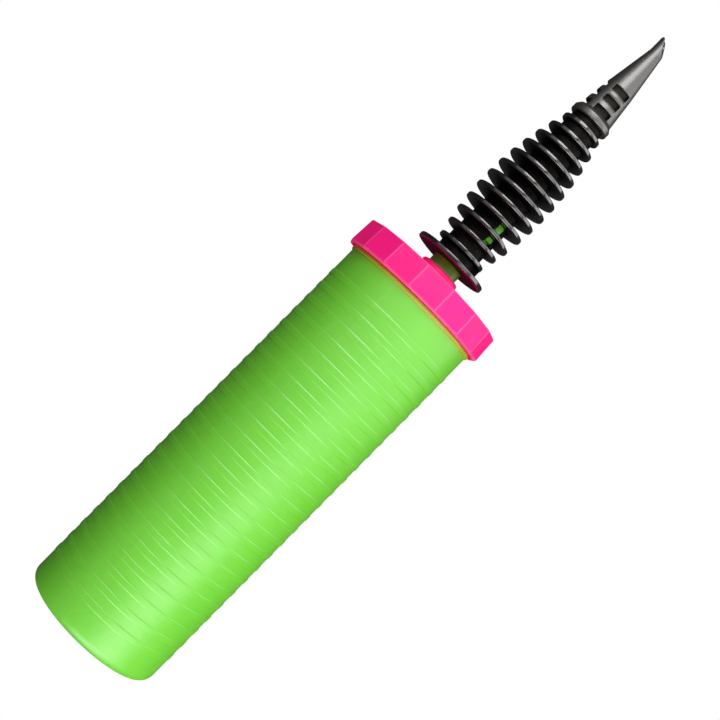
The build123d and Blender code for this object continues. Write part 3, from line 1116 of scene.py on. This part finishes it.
    def cut(self, radius: np.ndarray, angle: np.ndarray) -> np.ndarray:
        """The slanted cut's height, a plane softly held under the tip's highest height.

        Args:
            radius: distance from the axis.
            angle: direction from +X.

        Returns:
            The height of the cut.
        """
        lift = radius * np.cos(angle - math.radians(self.cut_degrees))
        plane = self.cut_height + math.tan(math.radians(self.cut_slope)) * lift
        over = (plane - self.tip_high) / self.cut_soft
        return self.tip_high - self.cut_soft * np.logaddexp(0.0, -over)

    def tip(self, angles: np.ndarray, start: float) -> np.ndarray:
        """The tip from a level ring to the cut, over its rounded rim and down the bore.

        Args:
            angles: the columns.
            start: the height of the level ring.

        Returns:
            The grid of points.
        """
        rim = self.cut(np.full_like(angles, self.tip_radius), angles)
        rows = []
        for share in np.linspace(0.0, 1.0, 12):
            height = start + (rim - self.rim_round - start) * share
            rows.append((self.slope(height), height))
        bend = self.rim_round
        for turn in np.linspace(0.25, 1.0, 4) * math.pi / 2:
            radius = np.full_like(angles, self.tip_radius - bend * (1.0 - math.cos(turn)))
            rows.append((radius, self.cut(radius, angles) - bend * (1.0 - math.sin(turn))))
        for turn in np.linspace(0.0, 1.0, 5) * math.pi / 2:
            radius = np.full_like(angles, self.tip_bore + bend * (1.0 - math.sin(turn)))
            rows.append((radius, self.cut(radius, angles) - bend * (1.0 - math.cos(turn))))
        radius, height = (np.array(column) for column in zip(*rows))
        return np.dstack([radius * np.cos(angles), radius * np.sin(angles), height])

    def build(self) -> bpy.types.Object:
        """Makes the nozzle's mesh.

        Returns:
            The nozzle, closed, with an open bore.
        """
        skin = Skin()
        place, share = self.shares()
        heights = self.heights()
        body = self.body(place, share, heights)
        bottom_angles = self.directions(place, np.array([self.skirt_radius]))[0]
        spigot = rounded_path(
            [
                (self.bore, self.spigot_low, 0),
                (self.spigot_radius, self.spigot_low, 0.4),
                (self.spigot_radius, self.low, 0.2),
                (self.skirt_radius, self.low, 0.35),
                (self.skirt_radius, self.skirt_high - 0.4, 0),
            ],
            steps=4,
        )
        foot = revolve(spigot, bottom_angles)
        angles = np.mod(np.arctan2(body[-1, :, 1], body[-1, :, 0]), TAU)
        tip = self.tip(angles, heights[-1])
        inside = np.array(
            [
                [self.tip_bore, self.bore_narrows + self.bore_taper],
                [self.bore, self.bore_narrows],
                [self.bore, self.spigot_low],
            ]
        )
        outer = self.slope(heights)[:, None]
        deep, shallow = self.slot_shade
        proud = smooth_step(outer - deep, outer - shallow, np.hypot(body[..., 0], body[..., 1]))
        skin.add(np.concatenate([foot, body]), wear_and_painted_light=np.concatenate([np.ones(foot.shape[:2]), proud]))
        skin.add(tip, wear_and_painted_light=np.ones(tip.shape[:2]))
        skin.add(np.concatenate([tip[-1:], revolve(inside, angles)]))
        skin.add(np.concatenate([revolve(inside[-1:], angles), foot[:1]]))
        return skin.build("nozzle_cone", sharp_degrees=50.0)


# ---------------------------------------------------------------- shader node groups
class GroupMaker:
    """A helper that lays out one shader node group with named sockets."""

    def __init__(self, name: str, inputs: dict[str, float], outputs: dict[str, str]) -> None:
        """Starts the group.

        Args:
            name: the group's name.
            inputs: each number input and its usual value.
            outputs: each output and its socket type.
        """
        self.tree = bpy.data.node_groups.new(name, "ShaderNodeTree")
        for label, value in inputs.items():
            socket = self.tree.interface.new_socket(label, in_out="INPUT", socket_type="NodeSocketFloat")
            socket.default_value = value
        for label, kind in outputs.items():
            self.tree.interface.new_socket(label, in_out="OUTPUT", socket_type=kind)
        self.entry = self.tree.nodes.new("NodeGroupInput")
        self.exit = self.tree.nodes.new("NodeGroupOutput")

    def node(self, kind: str, links: dict | None = None, **settings: object) -> bpy.types.Node:
        """Adds a node, sets its properties and links or sets its inputs.

        Args:
            kind: the node's type.
            links: for each input, another node's output or a plain value.
            settings: properties of the node.

        Returns:
            The new node.
        """
        return add_node(self.tree, kind, links, **settings)


def add_node(tree: bpy.types.NodeTree, kind: str, links: dict | None = None,
             **settings: object) -> bpy.types.Node:
    """Adds a node to a tree, sets its properties and links or sets its inputs.

    Args:
        tree: the node tree.
        kind: the node's type.
        links: for each input, another node's output or a plain value.
        settings: properties of the node.

    Returns:
        The new node.
    """
    node = tree.nodes.new(kind)
    for label, value in settings.items():
        setattr(node, label, value)
    for label, value in (links or {}).items():
        if isinstance(value, bpy.types.NodeSocket):
            tree.links.new(value, node.inputs[label])
        else:
            node.inputs[label].default_value = value
    return node


def moulded_grain() -> bpy.types.NodeTree:
    """The height of a moulded plastic's surface: fine grain over a slow waviness.

    Returns:
        A group with the inputs Grain scale, Wave scale and Wave share, and the output Height.
    """
    group = GroupMaker(
        "moulded_grain",
        {"Grain scale": 2200.0, "Wave scale": 90.0, "Wave share": 0.6},
        {"Height": "NodeSocketFloat"},
    )
    place = group.node("ShaderNodeTexCoord").outputs["Object"]
    grain = group.node(
        "ShaderNodeTexNoise",
        {"Vector": place, "Scale": group.entry.outputs["Grain scale"], "Detail": 2.0},
    )
    wave = group.node(
        "ShaderNodeTexNoise",
        {"Vector": place, "Scale": group.entry.outputs["Wave scale"], "Detail": 1.0},
    )
    mixed = group.node(
        "ShaderNodeMix",
        {"Factor": group.entry.outputs["Wave share"], "A": grain.outputs[0], "B": wave.outputs[0]},
    )
    group.tree.links.new(mixed.outputs[0], group.exit.inputs["Height"])
    return group.tree


def moulded_tone() -> bpy.types.NodeTree:
    """Where a moulded plastic is paler or deeper: flow lines along Z and soft clouds.

    Returns:
        A group with the inputs Cloud scale, Flow scale and Contrast, and the output Mask.
    """
    group = GroupMaker(
        "moulded_tone",
        {"Cloud scale": 45.0, "Flow scale": 260.0, "Contrast": 0.5},
        {"Mask": "NodeSocketFloat"},
    )
    place = group.node("ShaderNodeTexCoord").outputs["Object"]
    cloud = group.node(
        "ShaderNodeTexNoise",
        {"Vector": place, "Scale": group.entry.outputs["Cloud scale"], "Detail": 3.0},
    )
    drawn = group.node("ShaderNodeMapping", {"Vector": place, "Scale": (1.0, 1.0, 0.08)})
    flow = group.node(
        "ShaderNodeTexNoise",
        {"Vector": drawn.outputs[0], "Scale": group.entry.outputs["Flow scale"], "Detail": 2.0},
    )
    both = group.node("ShaderNodeMix", {"Factor": 0.35, "A": cloud.outputs[0], "B": flow.outputs[0]})
    away = group.node("ShaderNodeMath", {0: both.outputs[0], 1: 0.5}, operation="SUBTRACT")
    grown = group.node(
        "ShaderNodeMath",
        {0: away.outputs[0], 1: group.entry.outputs["Contrast"]},
        operation="MULTIPLY",
    )
    back = group.node("ShaderNodeMath", {0: grown.outputs[0], 1: 0.5}, operation="ADD", use_clamp=True)
    group.tree.links.new(back.outputs[0], group.exit.inputs["Mask"])
    return group.tree


def handling_marks() -> bpy.types.NodeTree:
    """Where handling shows: rubbed rims, hairline scratches and a little dust.

    The rims come from the mesh's own mask of wear and painted light, broken up by noise. Scratches
    are the thin bands where stretched noise crosses its middle. Dust is the tops of fine noise.

    Returns:
        A group with the inputs Scratch scale and Rim, and the outputs Marks, Dust and Rims, which
        is the mask itself; the finishes also lay their painted light and coat by it.
    """
    group = GroupMaker(
        "handling_marks",
        {"Scratch scale": 60.0, "Rim": 1.0},
        {"Marks": "NodeSocketFloat", "Dust": "NodeSocketFloat", "Rims": "NodeSocketFloat"},
    )
    place = group.node("ShaderNodeTexCoord").outputs["Object"]
    turned = group.node(
        "ShaderNodeMapping", {"Vector": place, "Rotation": (0.4, 0.7, 0.3), "Scale": (1.0, 6.0, 1.0)}
    )
    lines = group.node(
        "ShaderNodeTexNoise",
        {"Vector": turned.outputs[0], "Scale": group.entry.outputs["Scratch scale"], "Detail": 1.0},
    )
    away = group.node("ShaderNodeMath", {0: lines.outputs[0], 1: 0.5}, operation="SUBTRACT")
    thin = group.node("ShaderNodeMath", {0: away.outputs[0]}, operation="ABSOLUTE")
    scratch = group.node(
        "ShaderNodeMapRange", {"Value": thin.outputs[0], "From Max": 0.008, "To Min": 0.5, "To Max": 0.0}
    )
    wear_and_painted_light = group.node("ShaderNodeAttribute", attribute_name="wear_and_painted_light").outputs["Fac"]
    patchy = group.node("ShaderNodeTexNoise", {"Vector": place, "Scale": 350.0, "Detail": 2.0})
    broken = group.node(
        "ShaderNodeMapRange", {"Value": patchy.outputs[0], "From Min": 0.35, "From Max": 0.65}
    )
    worn = group.node("ShaderNodeMath", {0: wear_and_painted_light, 1: broken.outputs[0]}, operation="MULTIPLY")
    rubbed = group.node(
        "ShaderNodeMath", {0: worn.outputs[0], 1: group.entry.outputs["Rim"]}, operation="MULTIPLY"
    )
    marks = group.node("ShaderNodeMath", {0: rubbed.outputs[0], 1: scratch.outputs[0]}, operation="MAXIMUM")
    specks = group.node("ShaderNodeTexNoise", {"Vector": place, "Scale": 900.0, "Detail": 3.0})
    dust = group.node(
        "ShaderNodeMapRange", {"Value": specks.outputs[0], "From Min": 0.66, "From Max": 0.76}
    )
    group.tree.links.new(marks.outputs[0], group.exit.inputs["Marks"])
    group.tree.links.new(dust.outputs[0], group.exit.inputs["Dust"])
    group.tree.links.new(wear_and_painted_light, group.exit.inputs["Rims"])
    return group.tree


def add_group(tree: bpy.types.NodeTree, name: str, values: dict[str, float]) -> bpy.types.Node:
    """Adds a shared node group to a tree and sets its inputs."""
    return add_node(tree, "ShaderNodeGroup", values, node_tree=bpy.data.node_groups[name])


def scaled(tree: bpy.types.NodeTree, value: bpy.types.NodeSocket, by: float) -> bpy.types.NodeSocket:
    """Multiplies an output by a number."""
    return add_node(tree, "ShaderNodeMath", {0: value, 1: by}, operation="MULTIPLY").outputs[0]


def blend(
    tree: bpy.types.NodeTree,
    share: bpy.types.NodeSocket,
    first: bpy.types.NodeSocket | tuple[float, float, float],
    second: bpy.types.NodeSocket | tuple[float, float, float],
) -> bpy.types.NodeSocket:
    """Mixes two colours.

    Args:
        tree: the node tree.
        share: how much of the second colour there is, from 0 to 1.
        first: the first colour, as an output or as red, green and blue.
        second: the second colour, in either way.

    Returns:
        The mixed colour's output.
    """
    ends = [
        colour if isinstance(colour, bpy.types.NodeSocket) else (*colour, 1.0)
        for colour in (first, second)
    ]
    mix = add_node(tree, "ShaderNodeMix", {"Factor": share, 6: ends[0], 7: ends[1]}, data_type="RGBA")
    return mix.outputs[2]


# ---------------------------------------------------------------- finishes
DUST_TONE = (0.75, 0.74, 0.7)


@dataclass(frozen=True)
class Finish:
    """A moulded finish: two tones, gloss, grain, marks from handling, and how light gets in.

    The rims are the points that a mesh's mask of wear and painted light picks out, and they can take
    a tone of painted light (a painted highlight or reflection), a coat or wear of their own. The
    painted glow is emission that makes a part shine as if lit, though it is no lamp.
    """

    name: str
    tone: tuple[float, float, float]
    deep_tone: tuple[float, float, float]
    mark_tone: tuple[float, float, float]
    roughness: float = 0.25
    mark_roughness: float = 0.45
    contrast: float = 1.6
    grain_height: float = 0.00002
    wave_share: float = 0.75
    grain_scale: float = 2200.0
    mark_strength: float = 0.3
    dust_strength: float = 0.1
    glow: float = 0.0
    glow_reach: tuple[float, float, float] = (1.0, 1.0, 1.0)
    glow_scale: float = 0.002
    coat: float = 0.0
    coat_roughness: float = 0.08
    coat_ior: float = 1.5
    specular: float = 0.5
    specular_tint: tuple[float, float, float] = (1.0, 1.0, 1.0)
    ior: float = 1.5
    rim_wear: float = 1.0
    # A tone of painted light on the mask: a painted highlight or reflection.
    painted_light_tone: tuple[float, float, float] = (0.0, 0.0, 0.0)
    painted_light_strength: float = 0.0
    rim_coat: float = 0.0
    clear: float = 0.0
    # Painted glow: emission that makes a part shine and light its neighbours though it is no lamp.
    painted_glow_tone: tuple[float, float, float] = (0.0, 0.0, 0.0)
    painted_glow_strength: float = 0.0

    def material(self) -> bpy.types.Material:
        """Makes the material.

        Returns:
            A Principled material with this finish.
        """
        made = bpy.data.materials.new(self.name)
        made.use_nodes = True
        tree = made.node_tree
        tree.nodes.clear()
        tone = add_group(tree, "moulded_tone", {"Contrast": self.contrast}).outputs["Mask"]
        marks = add_group(tree, "handling_marks", {"Rim": self.rim_wear}).outputs
        grain = add_group(
            tree, "moulded_grain", {"Wave share": self.wave_share, "Grain scale": self.grain_scale}
        )
        base = blend(tree, tone, self.deep_tone, self.tone)
        # Painted light: the mask's tone stands in for highlights and reflected light.
        with_painted_light = blend(tree, scaled(tree, marks["Rims"], self.painted_light_strength), base, self.painted_light_tone)
        worn = blend(tree, scaled(tree, marks["Marks"], self.mark_strength), with_painted_light, self.mark_tone)
        dusty = blend(tree, scaled(tree, marks["Dust"], self.dust_strength), worn, DUST_TONE)
        coated = add_node(
            tree, "ShaderNodeMath",
            {0: marks["Rims"], 1: self.rim_coat, 2: self.coat},
            operation="MULTIPLY_ADD", use_clamp=True,
        )
        rough = add_node(
            tree, "ShaderNodeMapRange",
            {"Value": marks["Marks"], "To Min": self.roughness, "To Max": self.mark_roughness},
        )
        uneven = add_node(
            tree, "ShaderNodeMath",
            {0: tone, 1: 0.06, 2: rough.outputs[0]}, operation="MULTIPLY_ADD",
        )
        bump = add_node(
            tree, "ShaderNodeBump",
            {"Height": grain.outputs["Height"], "Distance": self.grain_height, "Strength": 1.0},
        )
        shader = add_node(
            tree, "ShaderNodeBsdfPrincipled",
            {
                "Base Color": dusty,
                "Roughness": uneven.outputs[0],
                "Normal": bump.outputs[0],
                "Coat Weight": coated.outputs[0],
                "Coat Roughness": self.coat_roughness,
                "Coat IOR": self.coat_ior,
                "Specular IOR Level": self.specular,
                "Specular Tint": (*self.specular_tint, 1.0),
                "IOR": self.ior,
                "Subsurface Weight": self.glow,
                "Subsurface Radius": self.glow_reach,
                "Subsurface Scale": self.glow_scale,
                "Transmission Weight": self.clear,
                "Emission Color": (*self.painted_glow_tone, 1.0),
                "Emission Strength": self.painted_glow_strength,
            },
        )
        add_node(tree, "ShaderNodeOutputMaterial", {"Surface": shader.outputs[0]})
        return made


# The barrel's orange tone on its mask is a painted reflection of the cap's pink light at the collar.
BARREL_GREEN = Finish(
    "barrel_green", tone=(0.2, 0.74, 0.034), deep_tone=(0.175, 0.7, 0.028), mark_tone=(0.4, 0.85, 0.25),
    roughness=0.42, mark_roughness=0.48, specular=1.0, ior=1.6, glow=0.2, glow_reach=(0.5, 1.0, 0.2),
    glow_scale=0.003, mark_strength=0.25, dust_strength=0.05,
    rim_wear=0.0, painted_light_tone=(1.0, 0.3, 0.01), painted_light_strength=0.95,
)
# The cap's lighter pink edge tone is painted highlight lines on its upper and lower edges and the corners
# of its flats; its lighter edge wear is partly real wear and partly painted highlight.
CAP_PINK = Finish(
    "cap_pink", tone=(0.97, 0.008, 0.27), deep_tone=(0.93, 0.006, 0.23), mark_tone=(1.0, 0.2, 0.5),
    roughness=0.5, mark_roughness=0.42, glow=0.3, glow_reach=(1.0, 0.2, 0.35), glow_scale=0.002,
    # The cap's emission is a painted glow: it shines and throws pink light though it is no lamp.
    mark_strength=0.15, dust_strength=0.05, painted_glow_tone=(1.0, 0.0, 0.13), painted_glow_strength=0.22,
    specular=0.5, rim_wear=0.5, painted_light_tone=(1.0, 0.4, 0.65), painted_light_strength=0.2,
)
ROD_GREEN = Finish(
    "rod_green", tone=(0.2, 0.68, 0.04), deep_tone=(0.16, 0.6, 0.03), mark_tone=(0.5, 0.8, 0.2),
    roughness=0.3, mark_roughness=0.45, glow=0.3, glow_reach=(0.5, 1.0, 0.2), glow_scale=0.002,
    mark_strength=0.3, dust_strength=0.05,
)
GRIP_BLACK = Finish(
    "grip_black", tone=(0.004, 0.0034, 0.003), deep_tone=(0.0022, 0.002, 0.0019),
    mark_tone=(0.03, 0.028, 0.026), roughness=0.45, mark_roughness=0.5, mark_strength=0.2,
    dust_strength=0.03, specular=0.12, specular_tint=(1.0, 0.9, 0.85),
    rim_wear=0.2, rim_coat=1.0, coat_roughness=0.2, coat_ior=2.3,
)
NOZZLE_BLACK = Finish(
    "nozzle_black", tone=(0.021, 0.017, 0.013), deep_tone=(0.014, 0.012, 0.009),
    mark_tone=(0.16, 0.155, 0.15), roughness=0.5, mark_roughness=0.5, mark_strength=0.3,
    dust_strength=0.06, specular=0.2, specular_tint=(1.0, 0.94, 0.86),
    rim_wear=0.05, rim_coat=1.0, coat_roughness=0.4, coat_ior=2.5,
)
INNER_WHITE = Finish(
    "inner_white", tone=(0.82, 0.82, 0.79), deep_tone=(0.76, 0.76, 0.72), mark_tone=(0.6, 0.6, 0.57),
    roughness=0.35, glow=0.2, glow_scale=0.002, dust_strength=0.02,
)
SEAL_RUBBER = Finish(
    "seal_rubber", tone=(0.03, 0.03, 0.03), deep_tone=(0.02, 0.02, 0.02), mark_tone=(0.1, 0.1, 0.1),
    roughness=0.62, mark_roughness=0.75, wave_share=0.3, grain_height=0.00004, dust_strength=0.2,
)
VALVE_FILM = Finish(
    "valve_film", tone=(0.7, 0.68, 0.6), deep_tone=(0.62, 0.6, 0.52), mark_tone=(0.8, 0.8, 0.75),
    roughness=0.3, clear=0.35, dust_strength=0.0,
)
BALL_WHITE = Finish(
    "ball_white", tone=(0.85, 0.85, 0.85), deep_tone=(0.8, 0.8, 0.8), mark_tone=(0.7, 0.7, 0.7),
    roughness=0.2, dust_strength=0.0,
)


@dataclass
class InnerParts:
    """The pieces inside, which keep their own solids and take finishes that suit them."""

    finishes: dict[str, Finish] = field(
        default_factory=lambda: {
            "inner_white": INNER_WHITE,
            "seal_rubber": SEAL_RUBBER,
            "valve_film": VALVE_FILM,
            "ball_white": BALL_WHITE,
        }
    )

    def dress(self) -> None:
        """Gives each inner node the finish of its material slot."""
        made = {slot: finish.material() for slot, finish in self.finishes.items()}
        for part in frame["record"]["subparts"]:
            slot, name = part["material_slot"], part["node"]
            if slot not in made:
                continue
            node = frame["nodes"][name]
            node.data.materials.clear()
            node.data.materials.append(made[slot])
            LOG.info("%s takes %s", name, slot)


# ---------------------------------------------------------------- studio
@dataclass
class Studio:
    """The camera, the soft lights and the pale floor."""

    distance: float = 467.9
    height: float = 120.3
    aside: float = 1.65
    upward_degrees: float = 1.5419
    roll_right: tuple[float, float] = (0.7108, 0.7034)
    lens: float = 66.5
    sensor: float = 36.0
    box_distance: float = 640.0
    box_size: float = 440.0
    floor_reach: float = 3.0
    floor_level: float = -0.0001
    air_strength: float = 0.045
    boxes: dict[str, tuple[float, float, float]] = field(
        default_factory=lambda: {
            "low_right": (45.0, -32.0, 1.8),
            "right": (35.0, 0.0, 0.4),
            "high_right": (45.0, 35.0, 0.75),
            "far_right": (88.0, 24.0, 1.15),
            "high_front": (-10.0, 40.0, 2.4),
            "low_front": (20.0, -62.0, 1.8),
            "low_left": (-45.0, -20.0, 0.14),
            "high_left": (-45.0, 30.0, 0.25),
        }
    )

    def camera(self) -> None:
        """Makes the camera, level with the barrel's upper half and rolled an eighth of a turn."""
        tilt = math.radians(self.upward_degrees)
        look = Vector((0.0, math.cos(tilt), math.sin(tilt)))
        above = Vector((0.0, -math.sin(tilt), math.cos(tilt)))
        along, rise = self.roll_right
        right = Vector((along, 0.0, 0.0)) + above * rise
        right.normalize()
        up = right.cross(look)
        data = bpy.data.cameras.new("camera")
        data.lens = self.lens
        data.sensor_width = self.sensor
        data.clip_start = 0.01
        placed = bpy.data.objects.new("camera", data)
        turn = Matrix((right, up, -look)).transposed().to_4x4()
        place = Vector((self.aside, -self.distance, self.height)) * MM
        placed.matrix_world = Matrix.Translation(place) @ turn
        bpy.context.scene.collection.objects.link(placed)
        bpy.context.scene.camera = placed

    def light(self, name: str, turn: float, lift: float, power: float) -> None:
        """Adds a soft square light that faces the pump's middle.

        Args:
            name: the light's name.
            turn: degrees round the pump from its front towards +X.
            lift: degrees above the pump's middle.
            power: its power in watts.
        """
        data = bpy.data.lights.new(name, "AREA")
        data.shape = "SQUARE"
        data.size = self.box_size * MM
        data.energy = power
        lamp = bpy.data.objects.new(name, data)
        lamp.visible_camera = False
        around, above = math.radians(turn), math.radians(lift)
        away = Vector(
            (math.cos(above) * math.sin(around), -math.cos(above) * math.cos(around), math.sin(above))
        )
        spot = (Vector((0.0, 0.0, self.height)) + away * self.box_distance) * MM
        lamp.matrix_world = Matrix.Translation(spot) @ away.to_track_quat("Z", "Y").to_matrix().to_4x4()
        bpy.context.scene.collection.objects.link(lamp)

    def pale(self, name: str) -> bpy.types.Material:
        """The stage's even white, which throws no light of its own on the pump.

        Args:
            name: the material's name.

        Returns:
            The material.
        """
        made = bpy.data.materials.new(name)
        made.use_nodes = True
        tree = made.node_tree
        tree.nodes.clear()
        bright = add_node(tree, "ShaderNodeEmission", {"Color": (1, 1, 1, 1), "Strength": 1.0})
        add_node(tree, "ShaderNodeOutputMaterial", {"Surface": bright.outputs[0]})
        return made

    def floor(self) -> None:
        """Makes the wide pale floor under the pump."""
        reach, level = self.floor_reach, self.floor_level
        mesh = bpy.data.meshes.new("floor")
        sides = ((-reach, -reach), (reach, -reach), (reach, reach), (-reach, reach))
        corners = [(x, y, level) for x, y in sides]
        mesh.from_pydata(corners, [], [(0, 1, 2, 3)])
        ground = bpy.data.objects.new("floor", mesh)
        mesh.materials.append(self.pale("floor_white"))
        ground.visible_shadow = ground.visible_diffuse = ground.visible_glossy = False
        bpy.context.scene.collection.objects.link(ground)

    def world(self) -> None:
        """Makes the air round the pump white to the eye and soft grey as a light."""
        world = bpy.data.worlds.new("air")
        world.use_nodes = True
        tree = world.node_tree
        tree.nodes.clear()
        path = add_node(tree, "ShaderNodeLightPath")
        bright = add_node(tree, "ShaderNodeBackground", {"Color": (1, 1, 1, 1), "Strength": 1.0})
        dim = add_node(tree, "ShaderNodeBackground", {"Color": (1, 1, 1, 1), "Strength": self.air_strength})
        mixed = add_node(
            tree, "ShaderNodeMixShader",
            {0: path.outputs["Is Camera Ray"], 1: dim.outputs[0], 2: bright.outputs[0]},
        )
        add_node(tree, "ShaderNodeOutputWorld", {"Surface": mixed.outputs[0]})
        bpy.context.scene.world = world

    def build(self) -> None:
        """Sets up the camera, the lights, the floor and the air."""
        self.camera()
        for name, (turn, lift, power) in self.boxes.items():
            self.light(name, turn, lift, power)
        self.floor()
        self.world()
        bpy.context.scene.view_settings.view_transform = "Standard"


# ---------------------------------------------------------------- the whole pump
def put(piece: bpy.types.Object, finish: Finish, body: Body, node: str) -> None:
    """Dresses a piece and sets it in the frame in place of its plain solid.

    Args:
        piece: the finished piece.
        finish: its finish, named for the record's material slot.
        body: the body that it rides on.
        node: the plain solid that it stands for.
    """
    piece.data.materials.append(finish.material())
    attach(piece, body.value)
    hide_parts(node)
    LOG.info("%s stands for %s with %d faces", piece.name, node, len(piece.data.polygons))


def main() -> None:
    logging.basicConfig(level=logging.INFO, format="%(name)s: %(message)s")
    for make_group in (moulded_grain, moulded_tone, handling_marks):
        make_group()
    put(Barrel().build(), BARREL_GREEN, Body.HOUSING, "barrel")
    put(Cap().build(), CAP_PINK, Body.HOUSING, "cap")
    put(Rod().build(), ROD_GREEN, Body.PLUNGER, "piston_rod")
    put(Grip().build(), GRIP_BLACK, Body.PLUNGER, "grip")
    put(Nozzle().build(), NOZZLE_BLACK, Body.PLUNGER, "nozzle")
    InnerParts().dress()
    Studio().build()


if __name__ == "__main__":
    main()
